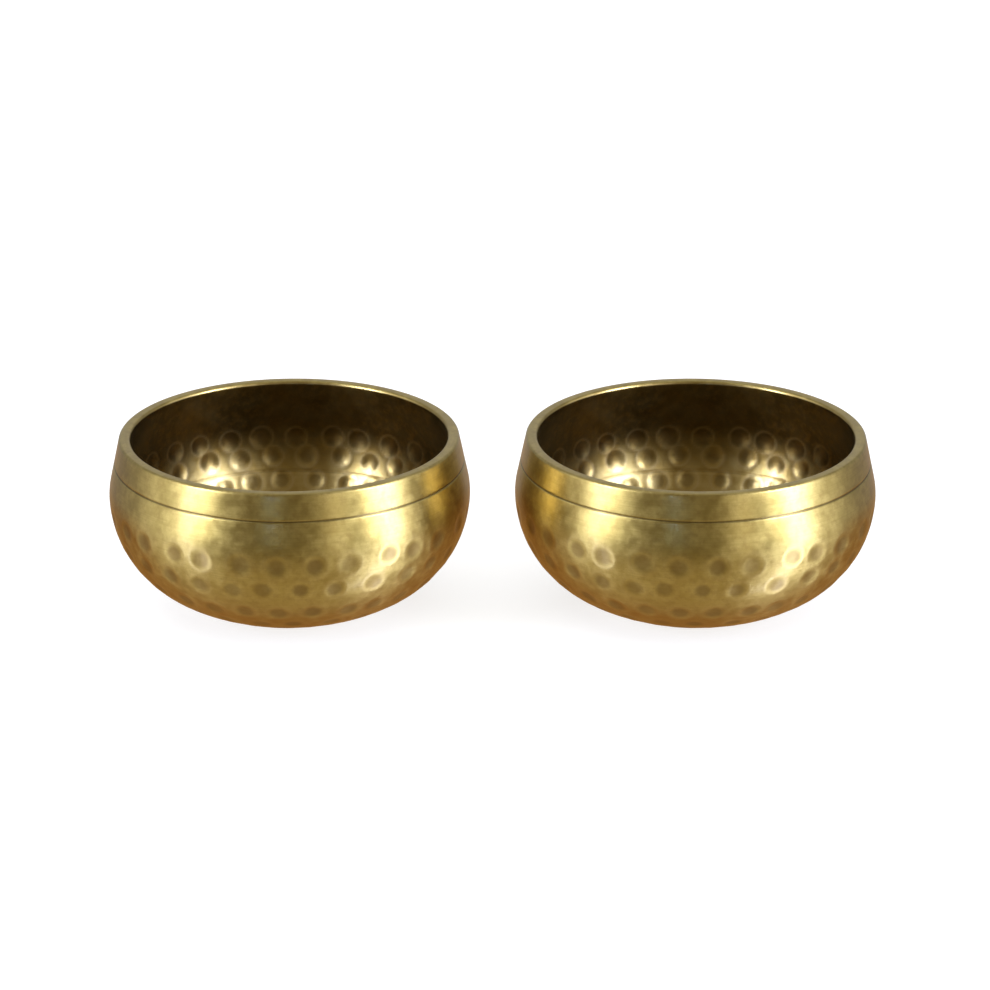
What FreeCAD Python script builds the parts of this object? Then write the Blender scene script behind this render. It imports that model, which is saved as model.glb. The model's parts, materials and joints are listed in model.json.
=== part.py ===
"""A pair of small hammered brass bowls, played by striking their rims.

Each bowl is one piece of metal: a flat resting foot, a round hammered belly, a smooth
band that leans in to the lip, a scribed line round that band, and a finer line turned
inside. The hammer marks lie in staggered rows round the belly, outside and inside.
The two bowls are loose. They stand side by side along X on the plane Z = 0, and the
origin is midway between them on that plane. Sizes are in millimetres and degrees.
"""

import FreeCAD
import Part

import math
import os
import random

# Driving dimensions of one bowl.
BOWL_DIAMETER = 80.0
BOWL_HEIGHT = 39.6
WIDEST_HEIGHT = 26.5
WALL = 2.6
SHOULDER_RADIUS = 15.0
BAND_LEAN_DEG = 12.0
BELLY_RADIUS = 24.7
FOOT_RADIUS = 44.0
FOOT_START_DEG = 59.3
LIP_ROUNDING = 0.6

# The lines cut round the bowl: how far below the lip, and the round tool's radius.
OUTER_LINE_DEPTH = 5.9
OUTER_LINE_TOOL = 0.3
INNER_LINE_DEPTH = 22.0
INNER_LINE_TOOL = 0.2

# The pair: how far apart the axes are, and how far the right bowl is turned round its own axis.
AXIS_SPACING = 90.0
RIGHT_TURN_DEG = -5.0

# Hammer marks. A row is (normal's angle below level, number of marks, angle of the first).
# The inner rows have the same numbers, and lie a little further round and lower down, with
# one more row above them.
MARK_ROWS = (
    (6.9, 30, -2.0),
    (21.5, 30, -6.0),
    (40.0, 29, -2.7),
    (56.0, 24, 4.0),
    (65.0, 18, -3.0),
)
TOP_INNER_ROW = (-5.1, 30, 1.0)
INNER_TURN_DEG = -1.0
INNER_LOWER_DEG = 7.6
OUTER_MARK_RADIUS = 2.4
INNER_MARK_RADIUS = 2.15
MARK_DEPTH = 0.18
TOOL_OVERSIZE = 1.18
TOOL_REACH = 1.2

# How unevenly the marks are struck, as a share or in degrees either way.
UNEVEN_TURN_DEG = 1.6
UNEVEN_ROW_DEG = 1.1
UNEVEN_SIZE = 0.08
OUTER_SEED = 11
INNER_SEED = 23

MAX_RADIUS = BOWL_DIAMETER / 2
SHOULDER_CENTRE = (MAX_RADIUS - SHOULDER_RADIUS, WIDEST_HEIGHT)
BELLY_CENTRE = (MAX_RADIUS - BELLY_RADIUS, WIDEST_HEIGHT)
Z_AXIS = FreeCAD.Vector(0, 0, 1)
ORIGIN = FreeCAD.Vector(0, 0, 0)


def on_circle(centre, radius, below_deg):
    """The point of the half profile, as (r, z), where the normal points below_deg under level."""
    turn = math.radians(below_deg)
    return (centre[0] + radius * math.cos(turn), centre[1] - radius * math.sin(turn))


FOOT_CENTRE = on_circle(BELLY_CENTRE, BELLY_RADIUS - FOOT_RADIUS, FOOT_START_DEG)


def wall_point(below_deg, inset):
    """A point on the belly or foot, inset from the outside, by the angle of its normal."""
    if below_deg <= FOOT_START_DEG:
        return on_circle(BELLY_CENTRE, BELLY_RADIUS - inset, below_deg)
    return on_circle(FOOT_CENTRE, FOOT_RADIUS - inset, below_deg)


def band_radius(height, inset):
    """The radius of the straight leaning band at a height, inset from the outside."""
    lean = math.radians(BAND_LEAN_DEG)
    r, z = on_circle(SHOULDER_CENTRE, SHOULDER_RADIUS - inset, -BAND_LEAN_DEG)
    return r - (height - z) * math.tan(lean)


def floor_radius(height, inset):
    """Where the foot's arc meets the flat floor at a height, inset from the outside."""
    rise = FOOT_CENTRE[1] - height
    return FOOT_CENTRE[0] + math.sqrt((FOOT_RADIUS - inset) ** 2 - rise**2)


def vector(point):
    """A point (r, z) of the half profile, in the XZ plane."""
    return FreeCAD.Vector(point[0], 0, point[1])


def line(start, end):
    return Part.LineSegment(vector(start), vector(end)).toShape()


def arc(centre, radius, start_deg, end_deg):
    """The stretch of a profile arc between two angles of its normal."""
    turns = (start_deg, (start_deg + end_deg) / 2, end_deg)
    return Part.Arc(*(vector(on_circle(centre, radius, turn)) for turn in turns)).toShape()


def wall_edges(inset, floor_height):
    """One face of the wall as profile edges, from its floor up to the lip."""
    rise = FOOT_CENTRE[1] - floor_height
    floor_deg = math.degrees(math.asin(rise / (FOOT_RADIUS - inset)))
    band_start = on_circle(SHOULDER_CENTRE, SHOULDER_RADIUS - inset, -BAND_LEAN_DEG)
    lip = (band_radius(BOWL_HEIGHT, inset), BOWL_HEIGHT)
    return [
        line((0, floor_height), (floor_radius(floor_height, inset), floor_height)),
        arc(FOOT_CENTRE, FOOT_RADIUS - inset, floor_deg, FOOT_START_DEG),
        arc(BELLY_CENTRE, BELLY_RADIUS - inset, FOOT_START_DEG, 0),
        arc(SHOULDER_CENTRE, SHOULDER_RADIUS - inset, 0, -BAND_LEAN_DEG),
        line(band_start, lip),
    ]


def plain_bowl():
    """The bowl before hammering, with its lip rounded."""
    outer_lip = (band_radius(BOWL_HEIGHT, 0), BOWL_HEIGHT)
    inner_lip = (band_radius(BOWL_HEIGHT, WALL), BOWL_HEIGHT)
    edges = wall_edges(0, 0) + wall_edges(WALL, WALL)
    edges += [line(outer_lip, inner_lip), line((0, 0), (0, WALL))]
    profile = Part.Face(Part.Wire(Part.__sortEdges__(edges)))
    body = profile.revolve(ORIGIN, Z_AXIS, 360)
    lip_edges = [
        edge
        for edge in body.Edges
        if edge.BoundBox.ZMin > BOWL_HEIGHT - 0.01 and edge.Length > MAX_RADIUS
    ]
    return body.makeFillet(LIP_ROUNDING, lip_edges)


def turned_line(inset, depth, tool):
    """The ring of metal that a round tool takes out at a depth below the lip."""
    height = BOWL_HEIGHT - depth
    if height > WIDEST_HEIGHT:
        radius = band_radius(height, inset)
    else:
        drop = WIDEST_HEIGHT - height
        radius = BELLY_CENTRE[0] + math.sqrt((BELLY_RADIUS - inset) ** 2 - drop**2)
    return Part.makeTorus(radius, tool, FreeCAD.Vector(0, 0, height), Z_AXIS)


def hammer_face(ball_radius, mark_radius):
    """The end of a ball hammer, its lowest point at the origin and pointing down."""
    edge = mark_radius * TOOL_OVERSIZE

    def rise(r):
        return ball_radius - math.sqrt(ball_radius**2 - r**2)

    ball = Part.Arc(*(vector((r, rise(r))) for r in (0, edge / 2, edge))).toShape()
    outline = [
        ball,
        line((edge, rise(edge)), (edge, TOOL_REACH)),
        line((edge, TOOL_REACH), (0, TOOL_REACH)),
        line((0, TOOL_REACH), (0, 0)),
    ]
    return Part.Face(Part.Wire(outline)).revolve(ORIGIN, Z_AXIS, 360)


def ball_radius(mark_radius, wall_curvature):
    """The ball that leaves a mark of that radius and MARK_DEPTH on a wall so curved."""
    return 1 / (2 * MARK_DEPTH / mark_radius**2 - wall_curvature)


def hammer_marks(inside):
    """The metal that the hammer pushes away on one side of the wall, as solids."""
    uneven = random.Random(INNER_SEED if inside else OUTER_SEED)
    inset = WALL if inside else 0
    side = -1 if inside else 1
    lower = INNER_LOWER_DEG if inside else 0
    nominal = INNER_MARK_RADIUS if inside else OUTER_MARK_RADIUS
    curvature = side * (1 / (BELLY_RADIUS - inset) + 1 / (MAX_RADIUS - inset)) / 2
    rows = MARK_ROWS + (TOP_INNER_ROW,) if inside else MARK_ROWS
    marks = []
    for below_deg, count, first_deg in rows:
        for place in range(count):
            turn = first_deg + 360 * place / count + (INNER_TURN_DEG if inside else 0)
            turn = math.radians(turn + uneven.uniform(-UNEVEN_TURN_DEG, UNEVEN_TURN_DEG))
            below = below_deg + lower + uneven.uniform(-UNEVEN_ROW_DEG, UNEVEN_ROW_DEG)
            size = nominal * (1 + uneven.uniform(-UNEVEN_SIZE, UNEVEN_SIZE))
            r, z = wall_point(below, inset)
            tilt = math.radians(below)
            across = FreeCAD.Vector(math.sin(turn), -math.cos(turn), 0)
            outward = across * math.cos(tilt) - Z_AXIS * math.sin(tilt)
            deepest = across * r + Z_AXIS * z - outward * (side * MARK_DEPTH)
            face = hammer_face(ball_radius(size, curvature), size)
            face.Placement = FreeCAD.Placement(
                deepest, FreeCAD.Rotation(Z_AXIS, outward * side)
            )
            marks.append(face)
    return marks


def hammered_bowl():
    """One finished bowl, standing on the origin."""
    bowl = plain_bowl()
    bowl = bowl.cut(turned_line(0, OUTER_LINE_DEPTH, OUTER_LINE_TOOL))
    bowl = bowl.cut(turned_line(WALL, INNER_LINE_DEPTH, INNER_LINE_TOOL))
    bowl = bowl.cut(hammer_marks(inside=False))
    bowl = bowl.cut(hammer_marks(inside=True))
    return bowl.Solids[0]


def export(name, shape, x, turn_deg):
    """Writes one bowl, turned round its own axis, at its place along X."""
    placed = shape.copy()
    placed.rotate(ORIGIN, Z_AXIS, turn_deg)
    placed.translate(FreeCAD.Vector(x, 0, 0))
    placed.exportStep(os.path.join("parts", name + ".step"))


os.makedirs("parts", exist_ok=True)
BOWL = hammered_bowl()
export("bowl_left", BOWL, -AXIS_SPACING / 2, 0)
export("bowl_right", BOWL, AXIS_SPACING / 2, RIGHT_TURN_DEG)
print("valid", BOWL.isValid(), "faces", len(BOWL.Faces), "volume_cm3", BOWL.Volume / 1000)
print("flat base radius", floor_radius(0, 0), "lip", band_radius(BOWL_HEIGHT, 0))
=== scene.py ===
"""A pair of small hammered brass bowls, in a plain studio.

Each bowl is one turned and hammered mesh with soft-edged marks, which stands for its CAD node.
All lengths are in metres and all angles in degrees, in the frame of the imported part. A bowl is
built round its own axis: its half profile is a list of stations, and every station is a ring.
"""

import json
import math
import random

import bpy
import numpy as np
from mathutils import Matrix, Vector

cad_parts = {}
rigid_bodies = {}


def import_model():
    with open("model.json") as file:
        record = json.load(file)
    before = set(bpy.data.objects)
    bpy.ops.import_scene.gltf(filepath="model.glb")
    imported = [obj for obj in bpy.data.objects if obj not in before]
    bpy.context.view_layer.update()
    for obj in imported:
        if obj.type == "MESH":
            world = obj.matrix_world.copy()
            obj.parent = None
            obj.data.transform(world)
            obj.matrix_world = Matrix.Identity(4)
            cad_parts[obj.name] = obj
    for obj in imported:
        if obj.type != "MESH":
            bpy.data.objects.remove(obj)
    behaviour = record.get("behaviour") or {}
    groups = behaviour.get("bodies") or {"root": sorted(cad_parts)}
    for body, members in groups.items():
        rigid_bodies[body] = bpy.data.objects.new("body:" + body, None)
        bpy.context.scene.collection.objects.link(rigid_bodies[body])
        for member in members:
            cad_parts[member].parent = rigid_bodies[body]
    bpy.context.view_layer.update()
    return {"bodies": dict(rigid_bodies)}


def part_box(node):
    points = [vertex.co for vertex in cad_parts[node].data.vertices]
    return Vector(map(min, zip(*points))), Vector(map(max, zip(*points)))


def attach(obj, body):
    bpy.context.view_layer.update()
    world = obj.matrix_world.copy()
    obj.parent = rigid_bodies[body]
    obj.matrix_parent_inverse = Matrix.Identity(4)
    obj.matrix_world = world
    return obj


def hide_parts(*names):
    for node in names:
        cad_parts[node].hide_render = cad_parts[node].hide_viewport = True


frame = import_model()

# The half profile of a bowl, as its design has it.
MAX_RADIUS = 0.040
HEIGHT = 0.0396
WIDEST_HEIGHT = 0.0265
WALL = 0.0026
SHOULDER_RADIUS = 0.015
BAND_LEAN = 12.0
BELLY_RADIUS = 0.0247
FOOT_RADIUS = 0.044
FOOT_START = 59.3
LIP_ROUNDING = 0.0007
FOOT_ROUNDING = 0.0012

# The lines turned round the wall: depth below the lip, half width, and how deep they are cut.
OUTER_LINE = (0.0059, 0.00030, 0.00018)
INNER_LINE = (0.0220, 0.00024, 0.00010)

# Hammer marks. A row is (normal's angle below level, number of marks, angle of the first).
MARK_ROWS = (
    (6.9, 30, -2.0),
    (21.5, 30, -6.0),
    (40.0, 29, -2.7),
    (56.0, 24, 4.0),
    (65.0, 18, -3.0),
)
TOP_INNER_ROW = (-5.1, 30, 1.0)
INNER_TURN = -1.0
INNER_LOWER = 7.6
OUTER_MARK_RADIUS = 0.0024
INNER_MARK_RADIUS = 0.00215
MARK_DEPTH = 0.00018
UNEVEN_TURN = 1.6
UNEVEN_ROW = 1.1
UNEVEN_SIZE = 0.08
OUTER_SEED = 11
INNER_SEED = 23

# How far each bowl is turned round its own axis.
BOWL_TURNS = {"bowl_left": 0.0, "bowl_right": -5.0}

# How the soft edge of a mark is shaped, in mark radii and as a share of its depth.
MARK_REACH = 1.10
RIM_PLACE = 1.16
RIM_WIDTH = 0.22
RIM_HEIGHT = 0.16

# The mesh: segments round, and the spacing of the stations on hammered stretches, outside and
# inside, on the shoulder and on smooth stretches. A small hole is left for the pole of each floor.
SEGMENTS = 480
OUTER_STEP = 0.00044
INNER_STEP = OUTER_STEP * 1.05
SHOULDER_STEP = OUTER_STEP * 1.6
COARSE_STEP = 0.0016
POLE_HOLE = 0.0008
LIP_STATIONS = 8
FOOT_STATIONS = 6
INNER_LIP_START = 5  # the station of the inner lip edge from which it counts as the inside
PAST_FOOT = 4.0  # degrees above the foot's edge that give its rounding the arc's direction
FOOT_CLEARANCE = 1.4  # degrees that the foot's rounding takes off the arc above it
LINE_REACH = 1.6  # half the height of the finely stepped stretch round a line, in half widths
LINE_STATIONS = 4.5  # stations to a half width of the line
LINE_SHARPNESS = 1.6
MARK_SLOPE = 1.5  # how fast a mark's floor rises to its edge
LEVEL_NORMAL = 0.02  # a normal that leans less than this belongs to a flat floor
MARK_FAR = 2.2  # how far from its middle a mark changes the wall, in mark radii

# The metal's colours, as linear RGBA.
BRASS_DEEP = (0.50, 0.37, 0.110, 1)
BRASS_PALE = (0.61, 0.465, 0.150, 1)
TURNING_LINES = (0.43, 0.31, 0.085, 1)
MOTTLING = (0.40, 0.275, 0.080, 1)
# Copper low on the outside: partly patina, partly painted shade for the dim reflection low on the
# belly.
FOOT_COPPER_AND_SHADE = (0.46, 0.255, 0.055, 1)
INSIDE_DEEP = (0.57, 0.40, 0.125, 1)
INSIDE_PALE = (0.69, 0.52, 0.205, 1)
MARK_TARNISH = (0.22, 0.135, 0.042, 1)
# Lighter ridges round the outer marks: partly wear, partly a painted highlight.
WORN_RIDGE_AND_HIGHLIGHT = (0.74, 0.57, 0.26, 1)
# The dark band high on the inside: partly oxide, partly painted shade for the dark reflection
# there.
OXIDE_AND_SHADE_DEEP = (0.042, 0.028, 0.009, 1)
OXIDE_AND_SHADE_PALE = (0.100, 0.066, 0.020, 1)
OXIDE_AND_SHADE_MOTTLING = (0.135, 0.082, 0.020, 1)
MARK_HOLLOW = (0.16, 0.105, 0.040, 1)
# Lighter rings round the inner marks: partly wear, partly a painted highlight.
WORN_RING_AND_HIGHLIGHT = (0.78, 0.62, 0.33, 1)
# Painted shade in the turned lines.
LINE_PAINTED_SHADE = (0.085, 0.062, 0.022, 1)

# How much of each colour lies over the ones before it, where it lies thickest.
TURNING_SHARE = 0.45
MOTTLING_SHARE = 0.52
COPPER_AND_SHADE_SHARE = 0.85
TARNISH_SHARE = 0.62
RIDGE_WEAR_AND_HIGHLIGHT_SHARE = 0.12
OXIDE_AND_SHADE_SHARE = 0.94
OXIDE_AND_SHADE_MOTTLING_SHARE = 0.55
HOLLOW_SHARE = 0.40
RING_WEAR_AND_HIGHLIGHT_SHARE = 0.38
RING_IN_OXIDE_AND_SHADE = 0.40
LINE_SHADE_SHARE = 0.70
INNER_LINE_SHADE = 0.5

# The heights between which the copper and its painted shade fade out and the oxide and its painted
# shade set in, how much the noise shifts them, and the bare stretch below the lip.
COPPER_AND_SHADE_LOW = 0.004
COPPER_AND_SHADE_HIGH = 0.024
COPPER_AND_SHADE_DRIFT = 0.008
OXIDE_AND_SHADE_DRIFT = 0.004
OXIDE_AND_SHADE_LOW = 0.0182
OXIDE_AND_SHADE_HIGH = 0.0287
LIP_BARE = (0.0008, 0.0003)

# The metal's finish. The noises have so many waves to a metre, and the turning lines' three
# scales are round the bowl, up it, and out from its middle.
ROUND_SCALE = 18.0
UP_SCALE = 900.0
OUT_SCALE = 500.0
BLOTCH_SCALE = 260.0
GRAIN_SCALE = 1500.0
CLOUD_SCALE = 60.0
MOTTLE_SCALE = 620.0
SMOOTH_ROUGHNESS = 0.30
DULL_ROUGHNESS = 0.40
TARNISH_DULLS = 0.06
INSIDE_DULLS = -0.02
ANISOTROPY = 0.55
ANISOTROPY_TURN = 0.25
COAT_WEIGHT = 0.32
COAT_ROUGHNESS = 0.18
STREAK_HEIGHT = 0.6
GRAIN_HEIGHT = 0.25
BLOTCH_HEIGHT = 0.6
MOTTLE_HEIGHT = 0.4
BUMP_STRENGTH = 0.22
BUMP_HEIGHT = 0.00012

# Area lights, round a point at the height LIGHT_CENTRE: name, azimuth, elevation, distance, size
# across and up, watts, and colour.
LIGHT_CENTRE = 0.02
STRIP_COLOUR = (0.58, 0.66, 1.0)
HIGH_COLOUR = (0.74, 0.81, 1.0)
LIGHTS = (
    ("strip_right", 67, -4, 1.0, (0.25, 3.0), 16.5, STRIP_COLOUR),
    ("strip_left", -66, 11, 1.0, (0.10, 2.4), 4.7, STRIP_COLOUR),
    ("card_right", 30, 5, 1.2, (0.28, 1.3), 1.3),
    ("high_right", 57, 21, 0.9, (0.24, 0.40), 4.8, HIGH_COLOUR),
    ("high_left", -59, 21, 0.9, (0.24, 0.40), 4.8, HIGH_COLOUR),
    ("cool_patch", -12, 9, 1.0, (0.06, 0.08), 0.18, (0.30, 0.50, 1.0)),
)
FLOOR_LIGHT = ("floor_light", 0, 89, 1.5, (2.4, 2.4), 30)  # the metal doesn't mirror this one

# The world's light as (share of the way from front to back, brightness). The first two are the
# ends, which a ramp has from the start. Below BELOW_FADE, in heights of a direction, it gives way
# to the light from under, which goes from front to back too. The tints are linear RGBA.
WORLD_ROUND = (
    (0.0, 0.19),
    (1.0, 0.50),
    (0.07, 0.19),
    (0.15, 0.24),
    (0.26, 0.88),
    (0.42, 0.96),
    (0.55, 0.92),
    (0.69, 0.36),
    (0.90, 0.30),
)
BELOW_FADE = (-0.32, -0.66)
UNDER_PLACES = (-0.10, 0.80)
UNDER_BRIGHT = (0.50, 0.33)
FRONT_FADE = (0.02, 0.25)
LOW_FADE = (-0.12, -0.45)
LOW_BACK_FADE = (0.08, 0.5)
FRONT_TINT = (1.0, 0.82, 0.48, 1)
ROUND_TINT = (0.97, 0.985, 1.0, 1)
BELOW_TINT = (1.0, 0.82, 0.50, 1)
LOW_BACK_TINT = (1.0, 0.48, 0.12, 1)

FLOOR_REACH = 6.0
FLOOR_GREY = (0.30, 0.30, 0.30, 1)
FLOOR_GLOW = 0.80

# The camera, which looks down at VIEW_ELEVATION at a width of VIEW_WIDTH.
LENS_MM = 180.0
SENSOR_MM = 36.0
VIEW_REACH = 50
VIEW_WIDTH = 0.2218
VIEW_ELEVATION = 20.8
VIEW_CENTRE_X = 0.00055
VIEW_CENTRE_UP = 0.0236


def on_circle(centre, radius, below):
    """The point (r, z) of the half profile where the normal points below degrees under level."""
    turn = math.radians(below)
    return (centre[0] + radius * math.cos(turn), centre[1] - radius * math.sin(turn))


SHOULDER_CENTRE = (MAX_RADIUS - SHOULDER_RADIUS, WIDEST_HEIGHT)
BELLY_CENTRE = (MAX_RADIUS - BELLY_RADIUS, WIDEST_HEIGHT)
FOOT_CENTRE = on_circle(BELLY_CENTRE, BELLY_RADIUS - FOOT_RADIUS, FOOT_START)


class Station:
    """One ring of the bowl: its place (r, z), its outward normal, and which wall it is on."""

    def __init__(self, r, z, normal_r, normal_z, inside):
        self.r = r
        self.z = z
        self.normal = (normal_r, normal_z)
        self.inside = inside


def steps(length, step):
    return max(2, round(length / step))


def arc_stations(centre, radius, start, end, step, inside):
    """Stations along an arc of the profile, without its last point. Inside, the normals turn in."""
    count = steps(abs(math.radians(end - start)) * radius, step)
    side = -1 if inside else 1
    found = []
    for i in range(count):
        below = start + (end - start) * i / count
        r, z = on_circle(centre, radius, below)
        turn = math.radians(below)
        found.append(Station(r, z, side * math.cos(turn), -side * math.sin(turn), inside))
    return found


def line_stations(start, end, step, inside):
    """Stations along a straight stretch, without its last point. The metal is on its left."""
    dr, dz = end[0] - start[0], end[1] - start[1]
    length = math.hypot(dr, dz)
    count = steps(length, step)
    normal = (dz / length, -dr / length)
    return [
        Station(start[0] + dr * i / count, start[1] + dz * i / count, *normal, inside)
        for i in range(count)
    ]


def corner_stations(before, corner, after, radius, count):
    """Stations round a rounded corner of the profile, from its first tangent point to its last."""
    into = np.array(corner) - np.array(before)
    out = np.array(after) - np.array(corner)
    into /= np.linalg.norm(into)
    out /= np.linalg.norm(out)
    turn = math.atan2(into[0] * out[1] - into[1] * out[0], float(into @ out))
    back = radius * math.tan(abs(turn) / 2)
    start = np.array(corner) - into * back
    side = 1 if turn > 0 else -1
    first_normal = np.array([into[1], -into[0]])
    centre = start - side * first_normal * radius
    found = []
    for i in range(count + 1):
        angle = turn * i / count
        c, s = math.cos(angle), math.sin(angle)
        normal = np.array(
            [first_normal[0] * c - first_normal[1] * s, first_normal[0] * s + first_normal[1] * c]
        )
        r, z = centre + side * normal * radius
        found.append(Station(float(r), float(z), float(normal[0]), float(normal[1]), False))
    return found


def wall_radius(height, inset):
    """The radius of the wall at a height above the foot's start, inset from the outside."""
    band_start = on_circle(SHOULDER_CENTRE, SHOULDER_RADIUS - inset, -BAND_LEAN)
    if height > band_start[1]:
        return band_start[0] - (height - band_start[1]) * math.tan(math.radians(BAND_LEAN))
    centre, radius = (
        (SHOULDER_CENTRE, SHOULDER_RADIUS)
        if height > WIDEST_HEIGHT
        else (BELLY_CENTRE, BELLY_RADIUS)
    )
    return centre[0] + math.sqrt((radius - inset) ** 2 - (height - centre[1]) ** 2)


def floor_angle(height, inset):
    """The angle of the foot arc's normal where it meets the floor at a height."""
    return math.degrees(math.asin((FOOT_CENTRE[1] - height) / (FOOT_RADIUS - inset)))


def profile():
    """Every station of a bowl, from the middle of its underside round the lip to its floor."""
    foot_angle = floor_angle(0, 0)
    foot_edge = on_circle(FOOT_CENTRE, FOOT_RADIUS, foot_angle)
    past_foot = on_circle(FOOT_CENTRE, FOOT_RADIUS, foot_angle - PAST_FOOT)
    foot_corner = corner_stations((0, 0), foot_edge, past_foot, FOOT_ROUNDING, FOOT_STATIONS)
    outer_band = on_circle(SHOULDER_CENTRE, SHOULDER_RADIUS, -BAND_LEAN)
    inner_band = on_circle(SHOULDER_CENTRE, SHOULDER_RADIUS - WALL, -BAND_LEAN)
    outer_lip = (wall_radius(HEIGHT, 0), HEIGHT)
    inner_lip = (wall_radius(HEIGHT, WALL), HEIGHT)
    inner_floor_angle = floor_angle(WALL, WALL)
    inner_floor = on_circle(FOOT_CENTRE, FOOT_RADIUS - WALL, inner_floor_angle)
    outer_round = corner_stations(outer_band, outer_lip, inner_lip, LIP_ROUNDING, LIP_STATIONS)
    inner_round = corner_stations(outer_lip, inner_lip, inner_band, LIP_ROUNDING, LIP_STATIONS)
    for station in inner_round[INNER_LIP_START:]:
        station.inside = True
    line_z = HEIGHT - OUTER_LINE[0]
    line_reach = LINE_REACH * OUTER_LINE[1]
    line_low = (wall_radius(line_z - line_reach, 0), line_z - line_reach)
    line_high = (wall_radius(line_z + line_reach, 0), line_z + line_reach)
    outer_round_start = (outer_round[0].r, outer_round[0].z)
    inner_round_end = (inner_round[-1].r, inner_round[-1].z)

    stations = line_stations((POLE_HOLE, 0), (foot_corner[0].r, 0), COARSE_STEP, False)
    stations += foot_corner
    stations += arc_stations(
        FOOT_CENTRE, FOOT_RADIUS, foot_angle - FOOT_CLEARANCE, FOOT_START, OUTER_STEP, False
    )
    stations += arc_stations(BELLY_CENTRE, BELLY_RADIUS, FOOT_START, 0, OUTER_STEP, False)
    stations += arc_stations(
        SHOULDER_CENTRE, SHOULDER_RADIUS, 0, -BAND_LEAN, SHOULDER_STEP, False
    )
    stations += line_stations(outer_band, line_low, COARSE_STEP, False)
    stations += line_stations(line_low, line_high, OUTER_LINE[1] / LINE_STATIONS, False)
    stations += line_stations(line_high, outer_round_start, COARSE_STEP, False)
    stations += outer_round
    stations += inner_round
    stations += line_stations(inner_round_end, inner_band, COARSE_STEP, True)[1:]
    stations += arc_stations(
        SHOULDER_CENTRE, SHOULDER_RADIUS - WALL, -BAND_LEAN, 0, INNER_STEP, True
    )
    stations += arc_stations(
        BELLY_CENTRE, BELLY_RADIUS - WALL, 0, FOOT_START, INNER_STEP, True
    )
    stations += arc_stations(
        FOOT_CENTRE, FOOT_RADIUS - WALL, FOOT_START, inner_floor_angle, INNER_STEP, True
    )
    stations += line_stations(inner_floor, (POLE_HOLE, WALL), COARSE_STEP, True)
    return stations


def marks(inside):
    """The hammer marks of one wall, unevenly struck: (angle round, angle below level, radius)."""
    uneven = random.Random(INNER_SEED if inside else OUTER_SEED)
    nominal = INNER_MARK_RADIUS if inside else OUTER_MARK_RADIUS
    rows = MARK_ROWS + (TOP_INNER_ROW,) if inside else MARK_ROWS
    found = []
    for below, count, first in rows:
        for place in range(count):
            turn = first + 360 * place / count + (INNER_TURN if inside else 0)
            turn += uneven.uniform(-UNEVEN_TURN, UNEVEN_TURN)
            level = below + (INNER_LOWER if inside else 0)
            level += uneven.uniform(-UNEVEN_ROW, UNEVEN_ROW)
            size = nominal * (1 + uneven.uniform(-UNEVEN_SIZE, UNEVEN_SIZE))
            found.append((turn, level, size))
    return found


def mark_centre(turn, below, inset):
    """The middle of a mark on the wall, as a point."""
    if below <= FOOT_START:
        r, z = on_circle(BELLY_CENTRE, BELLY_RADIUS - inset, below)
    else:
        r, z = on_circle(FOOT_CENTRE, FOOT_RADIUS - inset, below)
    angle = math.radians(turn)
    return np.array([r * math.sin(angle), -r * math.cos(angle), z])


def hammered(points, inside):
    """How far each point of a wall sinks, and its shares of a mark's floor and of its ridge."""
    sunk = np.zeros(len(points))
    worn = np.zeros(len(points))
    ridge = np.zeros(len(points))
    for turn, below, size in marks(inside):
        centre = mark_centre(turn, below, WALL if inside else 0)
        rho = np.linalg.norm(points - centre, axis=1) / size
        near = rho < MARK_FAR
        rho = rho[near]
        bowl = np.clip(1 - (rho / MARK_REACH) ** 2, 0, 1) ** MARK_SLOPE
        sunk[near] += MARK_DEPTH * bowl
        rim = np.exp(-(((rho - RIM_PLACE) / RIM_WIDTH) ** 2))
        ridge[near] = np.maximum(ridge[near], rim)
        worn[near] = np.maximum(worn[near], bowl)
    return sunk - RIM_HEIGHT * MARK_DEPTH * ridge * (1 - worn), worn, ridge


def turned_line(z, line):
    """How deep a round-bottomed line is cut at a height."""
    depth, half_width, cut = line
    away = np.abs(z - (HEIGHT - depth)) / half_width
    return cut * np.exp(-(away**2) * LINE_SHARPNESS)


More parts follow.
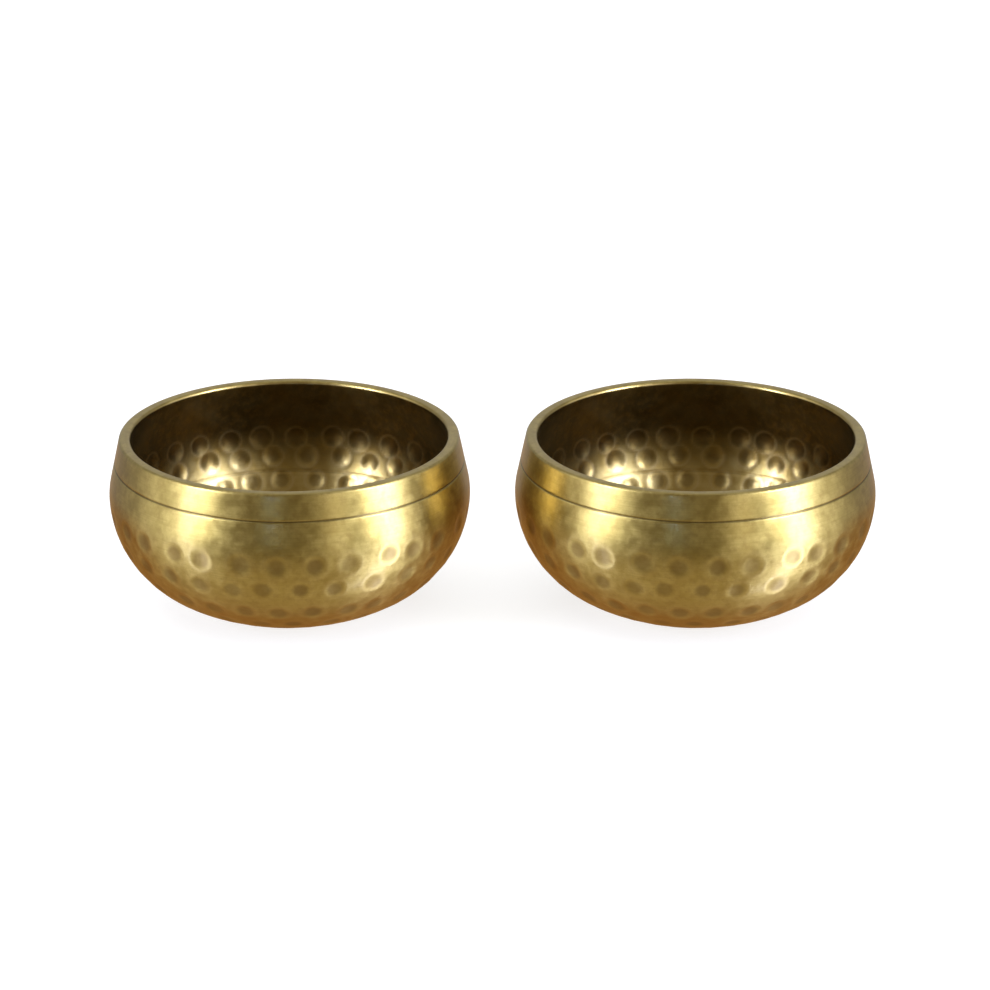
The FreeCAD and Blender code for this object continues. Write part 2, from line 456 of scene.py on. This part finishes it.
def bowl_mesh(name):
    """The finished bowl round its own axis, standing on z = 0, with attributes for its patina."""
    stations = profile()
    angles = np.arange(SEGMENTS) * (2 * math.pi / SEGMENTS)
    around = np.stack([np.sin(angles), -np.cos(angles)], axis=1)
    r = np.array([s.r for s in stations])
    z = np.array([s.z for s in stations])
    normal = np.array([s.normal for s in stations])
    inside = np.array([s.inside for s in stations])
    rings = len(stations)

    place = np.empty((rings, SEGMENTS, 3))
    place[:, :, :2] = around[None] * r[:, None, None]
    place[:, :, 2] = z[:, None]
    outward = np.empty((rings, SEGMENTS, 3))
    outward[:, :, :2] = around[None] * normal[:, None, None, 0]
    outward[:, :, 2] = normal[:, None, 1]

    sink = np.zeros((rings, SEGMENTS))
    mark = np.zeros((rings, SEGMENTS))
    ridge = np.zeros((rings, SEGMENTS))
    for side in (False, True):
        chosen = inside == side
        flat = place[chosen].reshape(-1, 3)
        sunk, worn, rim = hammered(flat, side)
        sink[chosen] = sunk.reshape(-1, SEGMENTS)
        mark[chosen] = worn.reshape(-1, SEGMENTS)
        ridge[chosen] = rim.reshape(-1, SEGMENTS)
    outer_cut = np.where(inside, 0, turned_line(z, OUTER_LINE))
    inner_cut = np.where(inside, turned_line(z, INNER_LINE), 0)
    level = np.abs(normal[:, 0]) < LEVEL_NORMAL
    sink[level & (z < WALL / 2)] = 0
    sink += (outer_cut + inner_cut)[:, None]
    place -= outward * sink[:, :, None]

    verts = place.reshape(-1, 3)
    poles = np.array([[0, 0, 0], [0, 0, WALL]])
    ring = np.arange(SEGMENTS)
    after = (ring + 1) % SEGMENTS
    faces = []
    for i in range(rings - 1):
        low, high = i * SEGMENTS, (i + 1) * SEGMENTS
        faces += np.stack([low + ring, low + after, high + after, high + ring], axis=1).tolist()
    under, floor = len(verts), len(verts) + 1
    top = (rings - 1) * SEGMENTS
    faces += [[under, int(b), int(a)] for a, b in zip(ring, after)]
    faces += [[floor, top + int(a), top + int(b)] for a, b in zip(ring, after)]
    mesh = bpy.data.meshes.new(name)
    mesh.from_pydata(np.vstack([verts, poles]).tolist(), [], faces)
    mesh.shade_smooth()

    def attribute(label, values, ends):
        layer = mesh.attributes.new(label, "FLOAT", "POINT")
        layer.data.foreach_set("value", np.append(values.ravel(), ends).astype(np.float32))

    attribute("mark", mark, (0, 0))
    attribute("ridge", ridge, (0, 0))
    attribute("inside", np.repeat(inside[:, None], SEGMENTS, axis=1), (0, 1))
    # How deep the lines are cut, as a mask for the painted shade in them, weaker in the inner line.
    cut = np.maximum(outer_cut / OUTER_LINE[2], INNER_LINE_SHADE * inner_cut / INNER_LINE[2])
    attribute("line", np.repeat(cut[:, None], SEGMENTS, axis=1), (0, 0))
    mesh.validate()
    return mesh


class Nodes:
    """Short forms for building the nodes of a material or of the world."""

    def __init__(self, owner, shader="Principled BSDF"):
        owner.use_nodes = True
        self.tree = owner.node_tree
        self.shader = self.tree.nodes[shader]

    def link(self, value, socket):
        if isinstance(value, bpy.types.NodeSocket):
            self.tree.links.new(value, socket)
        else:
            socket.default_value = value

    def node(self, kind, inputs=(), output=0, **settings):
        made = self.tree.nodes.new(kind)
        for key, value in settings.items():
            setattr(made, key, value)
        for key, value in inputs:
            self.link(value, made.inputs[key])
        return made.outputs[output]

    def attribute(self, name):
        return self.node("ShaderNodeAttribute", output="Fac", attribute_name=name)

    def maths(self, operation, a, b=0.0):
        return self.node("ShaderNodeMath", ((0, a), (1, b)), operation=operation)

    def share(self, value, part):
        return self.maths("MULTIPLY", value, part)

    def ramp(self, value, low, high, low_out=0.0, high_out=1.0):
        """A smooth step from low_out to high_out as value goes from low to high."""
        return self.node(
            "ShaderNodeMapRange",
            ((0, value), (1, low), (2, high), (3, low_out), (4, high_out)),
            interpolation_type="SMOOTHSTEP",
        )

    def mix(self, factor, a, b):
        made = self.tree.nodes.new("ShaderNodeMix")
        made.data_type = "RGBA"
        for socket, value in ((made.inputs[0], factor), (made.inputs[6], a), (made.inputs[7], b)):
            self.link(value, socket)
        return made.outputs[2]

    def noise(self, place, scale, detail, roughness=0.5):
        return self.node(
            "ShaderNodeTexNoise",
            (("Vector", place), ("Scale", scale), ("Detail", detail), ("Roughness", roughness)),
        )


def hammered_brass():
    """Satin brass with fine turning lines, patina in the marks and inside, and a copper foot.

    Painted shade darkens the foot, the top of the inside and the turned lines, and painted
    highlights lighten the rims of the marks.
    """
    material = bpy.data.materials.new("hammered_brass")
    n = Nodes(material)
    place = n.node("ShaderNodeTexCoord", output="Object")
    parts = n.tree.nodes.new("ShaderNodeSeparateXYZ")
    n.link(place, parts.inputs[0])
    x, y, z = parts.outputs
    mark = n.attribute("mark")
    ridge = n.attribute("ridge")
    inside = n.attribute("inside")
    line = n.attribute("line")

    # Coordinates that run far round the bowl for each step up it, so that noise makes lines.
    radius = n.node("ShaderNodeVectorMath", ((0, place),), output="Value", operation="LENGTH")
    round_x, round_y = n.maths("MULTIPLY", x, ROUND_SCALE), n.maths("MULTIPLY", y, ROUND_SCALE)
    turn = n.node("ShaderNodeCombineXYZ", ((0, round_x), (1, round_y)))
    up = n.maths("ADD", n.maths("MULTIPLY", z, UP_SCALE), n.maths("MULTIPLY", radius, OUT_SCALE))
    up = n.node("ShaderNodeCombineXYZ", ((2, up),))
    streak_place = n.node("ShaderNodeVectorMath", ((0, turn), (1, up)))
    streaks = n.noise(streak_place, 3.0, 4.0, 0.6)
    blotches = n.noise(place, BLOTCH_SCALE, 4.0, 0.62)
    grain = n.noise(place, GRAIN_SCALE, 2.0)
    clouds = n.noise(place, CLOUD_SCALE, 3.0, 0.55)
    mottle = n.noise(place, MOTTLE_SCALE, 3.0, 0.65)

    # Colour: bright olive brass, then copper with painted shade low down, patina in the marks, and
    # dark brown inside, with oxide and painted shade high up and painted highlights round the
    # marks.
    brass = n.mix(n.ramp(blotches, 0.35, 0.68), BRASS_DEEP, BRASS_PALE)
    brass = n.mix(n.ramp(streaks, 0.40, 0.75, 0.0, TURNING_SHARE), brass, TURNING_LINES)
    brass = n.mix(n.ramp(mottle, 0.42, 0.70, 0.0, MOTTLING_SHARE), brass, MOTTLING)
    # Copper and painted shade, darker towards the foot, on the outside only.
    low = n.maths("ADD", z, n.share(clouds, COPPER_AND_SHADE_DRIFT))
    low = n.ramp(low, COPPER_AND_SHADE_LOW, COPPER_AND_SHADE_HIGH, 1.0, 0.0)
    low = n.maths("MULTIPLY", low, n.maths("SUBTRACT", 1.0, inside))
    brass = n.mix(n.share(low, COPPER_AND_SHADE_SHARE), brass, FOOT_COPPER_AND_SHADE)
    copper = n.mix(n.ramp(blotches, 0.3, 0.7), INSIDE_DEEP, INSIDE_PALE)
    brass = n.mix(inside, brass, copper)
    outside = n.maths("SUBTRACT", 1.0, inside)
    tarnish = n.maths("MULTIPLY", n.ramp(mark, 0.05, 0.75), n.ramp(clouds, 0.3, 0.7, 0.6, 1.0))
    tarnish = n.maths("MULTIPLY", tarnish, outside)
    brass = n.mix(n.share(tarnish, TARNISH_SHARE), brass, MARK_TARNISH)
    # Lighter ridges round the outer marks: partly wear, partly painted highlight.
    brass = n.mix(n.share(ridge, RIDGE_WEAR_AND_HIGHLIGHT_SHARE), brass, WORN_RIDGE_AND_HIGHLIGHT)
    # A dark band high on the inside, below the bare lip: partly oxide, partly painted shade.
    upper = n.maths("ADD", z, n.share(blotches, OXIDE_AND_SHADE_DRIFT))
    upper = n.ramp(upper, OXIDE_AND_SHADE_LOW, OXIDE_AND_SHADE_HIGH)
    below_lip = n.ramp(z, HEIGHT - LIP_BARE[0], HEIGHT - LIP_BARE[1], 1.0, 0.0)
    oxide_and_shade = n.maths("MULTIPLY", n.maths("MULTIPLY", inside, upper), below_lip)
    dark = n.mix(n.ramp(clouds, 0.35, 0.7), OXIDE_AND_SHADE_DEEP, OXIDE_AND_SHADE_PALE)
    dark = n.mix(n.ramp(mottle, 0.40, 0.70, 0.0, OXIDE_AND_SHADE_MOTTLING_SHARE), dark, OXIDE_AND_SHADE_MOTTLING)
    brass = n.mix(n.share(oxide_and_shade, OXIDE_AND_SHADE_SHARE), brass, dark)
    hollow = n.maths("MULTIPLY", n.ramp(mark, 0.15, 0.70), inside)
    brass = n.mix(n.share(hollow, HOLLOW_SHARE), brass, MARK_HOLLOW)
    # Lighter rings round the inner marks: partly wear, partly painted highlight, fainter in the
    # dark band.
    ring = n.maths("MULTIPLY", n.maths("MULTIPLY", ridge, ridge), inside)
    ring = n.maths("MULTIPLY", ring, n.ramp(oxide_and_shade, 0.1, 0.9, 1.0, RING_IN_OXIDE_AND_SHADE))
    brass = n.mix(n.share(ring, RING_WEAR_AND_HIGHLIGHT_SHARE), brass, WORN_RING_AND_HIGHLIGHT)
    # Painted shade in the turned lines.
    brass = n.mix(n.ramp(line, 0.25, 0.9, 0.0, LINE_SHADE_SHARE), brass, LINE_PAINTED_SHADE)
    n.link(brass, n.shader.inputs["Base Color"])

    rough = n.ramp(blotches, 0.3, 0.7, SMOOTH_ROUGHNESS, DULL_ROUGHNESS)
    rough = n.maths("ADD", rough, n.share(tarnish, TARNISH_DULLS))
    rough = n.maths("ADD", rough, n.share(inside, INSIDE_DULLS))
    n.link(rough, n.shader.inputs["Roughness"])
    n.shader.inputs["Metallic"].default_value = 1.0
    n.shader.inputs["Anisotropic"].default_value = ANISOTROPY
    n.shader.inputs["Anisotropic Rotation"].default_value = ANISOTROPY_TURN
    n.shader.inputs["Coat Weight"].default_value = COAT_WEIGHT
    n.shader.inputs["Coat Roughness"].default_value = COAT_ROUGHNESS
    tangent = n.node("ShaderNodeTangent", direction_type="RADIAL", axis="Z")
    n.link(tangent, n.shader.inputs["Tangent"])

    height = n.maths("ADD", n.share(streaks, STREAK_HEIGHT), n.share(grain, GRAIN_HEIGHT))
    height = n.maths("ADD", height, n.share(blotches, BLOTCH_HEIGHT))
    height = n.maths("ADD", height, n.share(mottle, MOTTLE_HEIGHT))
    bump = n.node(
        "ShaderNodeBump",
        (("Strength", BUMP_STRENGTH), ("Distance", BUMP_HEIGHT), ("Height", height)),
        output="Normal",
    )
    n.link(bump, n.shader.inputs["Normal"])
    return material


def hammered_bowl(node, material, source, turn):
    """One bowl, turned round its own axis, standing for its CAD node and riding on its body."""
    low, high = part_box(node)
    piece = bpy.data.objects.new("hammered_" + node, source.copy())
    piece.data.transform(Matrix.Rotation(math.radians(turn), 4, "Z"))
    bpy.context.scene.collection.objects.link(piece)
    piece.location = ((low.x + high.x) / 2, (low.y + high.y) / 2, low.z)
    piece.data.materials.append(material)
    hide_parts(node)
    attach(piece, node)
    return piece


def floor():
    """A plain pale floor that runs past every view."""
    mesh = bpy.data.meshes.new("studio_floor")
    sides = ((-1, -1), (1, -1), (1, 1), (-1, 1))
    corners = [(x * FLOOR_REACH, y * FLOOR_REACH, 0) for x, y in sides]
    mesh.from_pydata(corners, [], [(0, 1, 2, 3)])
    plane = bpy.data.objects.new("studio_floor", mesh)
    bpy.context.scene.collection.objects.link(plane)
    material = bpy.data.materials.new("pale_floor")
    n = Nodes(material)
    n.shader.inputs["Base Color"].default_value = FLOOR_GREY
    n.shader.inputs["Emission Color"].default_value = (1, 1, 1, 1)
    n.shader.inputs["Emission Strength"].default_value = FLOOR_GLOW
    n.shader.inputs["Roughness"].default_value = 1.0
    n.shader.inputs["Specular IOR Level"].default_value = 0.0
    mesh.materials.append(material)
    plane.visible_glossy = False
    plane.visible_shadow = False


def soft_light(name, azimuth, elevation, distance, size, power, colour=(1, 1, 1)):
    """An area light that looks at the bowls. Azimuth 0 is in front of them, and 90 on the right."""
    turn, rise = math.radians(azimuth), math.radians(elevation)
    light = bpy.data.lights.new(name, "AREA")
    light.shape = "RECTANGLE"
    light.size, light.size_y = size
    light.energy = power
    light.color = colour
    lamp = bpy.data.objects.new(name, light)
    bpy.context.scene.collection.objects.link(lamp)
    away = math.cos(rise) * distance
    up = LIGHT_CENTRE + math.sin(rise) * distance
    lamp.location = (away * math.sin(turn), -away * math.cos(turn), up)
    lamp.rotation_euler = (math.radians(90 - elevation), 0, turn)
    return lamp


def studio_world():
    """Soft light from all round, dim from the front, brightest from the sides, warm from below."""
    world = bpy.data.worlds.new("studio_world")
    bpy.context.scene.world = world
    n = Nodes(world, "Background")
    parts = n.tree.nodes.new("ShaderNodeSeparateXYZ")
    n.link(n.node("ShaderNodeTexCoord", output="Generated"), parts.inputs[0])
    x, y, z = parts.outputs
    level = n.maths("SQRT", n.maths("ADD", n.maths("MULTIPLY", x, x), n.maths("MULTIPLY", y, y)))
    back = n.maths("ADD", n.maths("MULTIPLY", n.maths("DIVIDE", y, level), 0.5), 0.5)
    ramp = n.tree.nodes.new("ShaderNodeValToRGB")
    ramp.color_ramp.interpolation = "EASE"
    for i, (place, bright) in enumerate(WORLD_ROUND):
        if i < 2:
            stop = ramp.color_ramp.elements[i]
            stop.position = place
        else:
            stop = ramp.color_ramp.elements.new(place)
        stop.color = (bright, bright, bright, 1)
    n.link(back, ramp.inputs[0])
    below = n.ramp(z, *BELOW_FADE, 0.0, 1.0)
    under = n.ramp(y, *UNDER_PLACES, *UNDER_BRIGHT)
    strength = n.maths(
        "ADD",
        n.maths("MULTIPLY", ramp.outputs[0], n.maths("SUBTRACT", 1.0, below)),
        n.maths("MULTIPLY", under, below),
    )
    front = n.mix(n.ramp(back, *FRONT_FADE), FRONT_TINT, ROUND_TINT)
    front = n.mix(below, front, BELOW_TINT)
    low_back = n.maths("MULTIPLY", n.ramp(z, *LOW_FADE, 0.0, 1.0), n.ramp(y, *LOW_BACK_FADE))
    n.link(n.mix(low_back, front, LOW_BACK_TINT), n.shader.inputs["Color"])
    n.link(strength, n.shader.inputs["Strength"])


def camera():
    """A long lens above the front edge of the floor, level from side to side."""
    data = bpy.data.cameras.new("camera")
    data.lens = LENS_MM
    data.sensor_width = SENSOR_MM
    data.clip_end = VIEW_REACH
    eye = bpy.data.objects.new("camera", data)
    bpy.context.scene.collection.objects.link(eye)
    rise = math.radians(VIEW_ELEVATION)
    distance = LENS_MM / SENSOR_MM * VIEW_WIDTH
    target = (VIEW_CENTRE_X, VIEW_CENTRE_UP * math.sin(rise), VIEW_CENTRE_UP * math.cos(rise))
    eye.location = (
        target[0],
        target[1] - distance * math.cos(rise),
        target[2] + distance * math.sin(rise),
    )
    eye.rotation_euler = (math.radians(90 - VIEW_ELEVATION), 0, 0)
    bpy.context.scene.camera = eye


brass = hammered_brass()
bowl = bowl_mesh("bowl")
for body in frame["bodies"]:
    hammered_bowl(body, brass, bowl, BOWL_TURNS[body])
bpy.data.meshes.remove(bowl)

floor()
studio_world()
for light in LIGHTS:
    soft_light(*light)
soft_light(*FLOOR_LIGHT).visible_glossy = False
camera()
bpy.context.scene.view_settings.view_transform = "Standard"
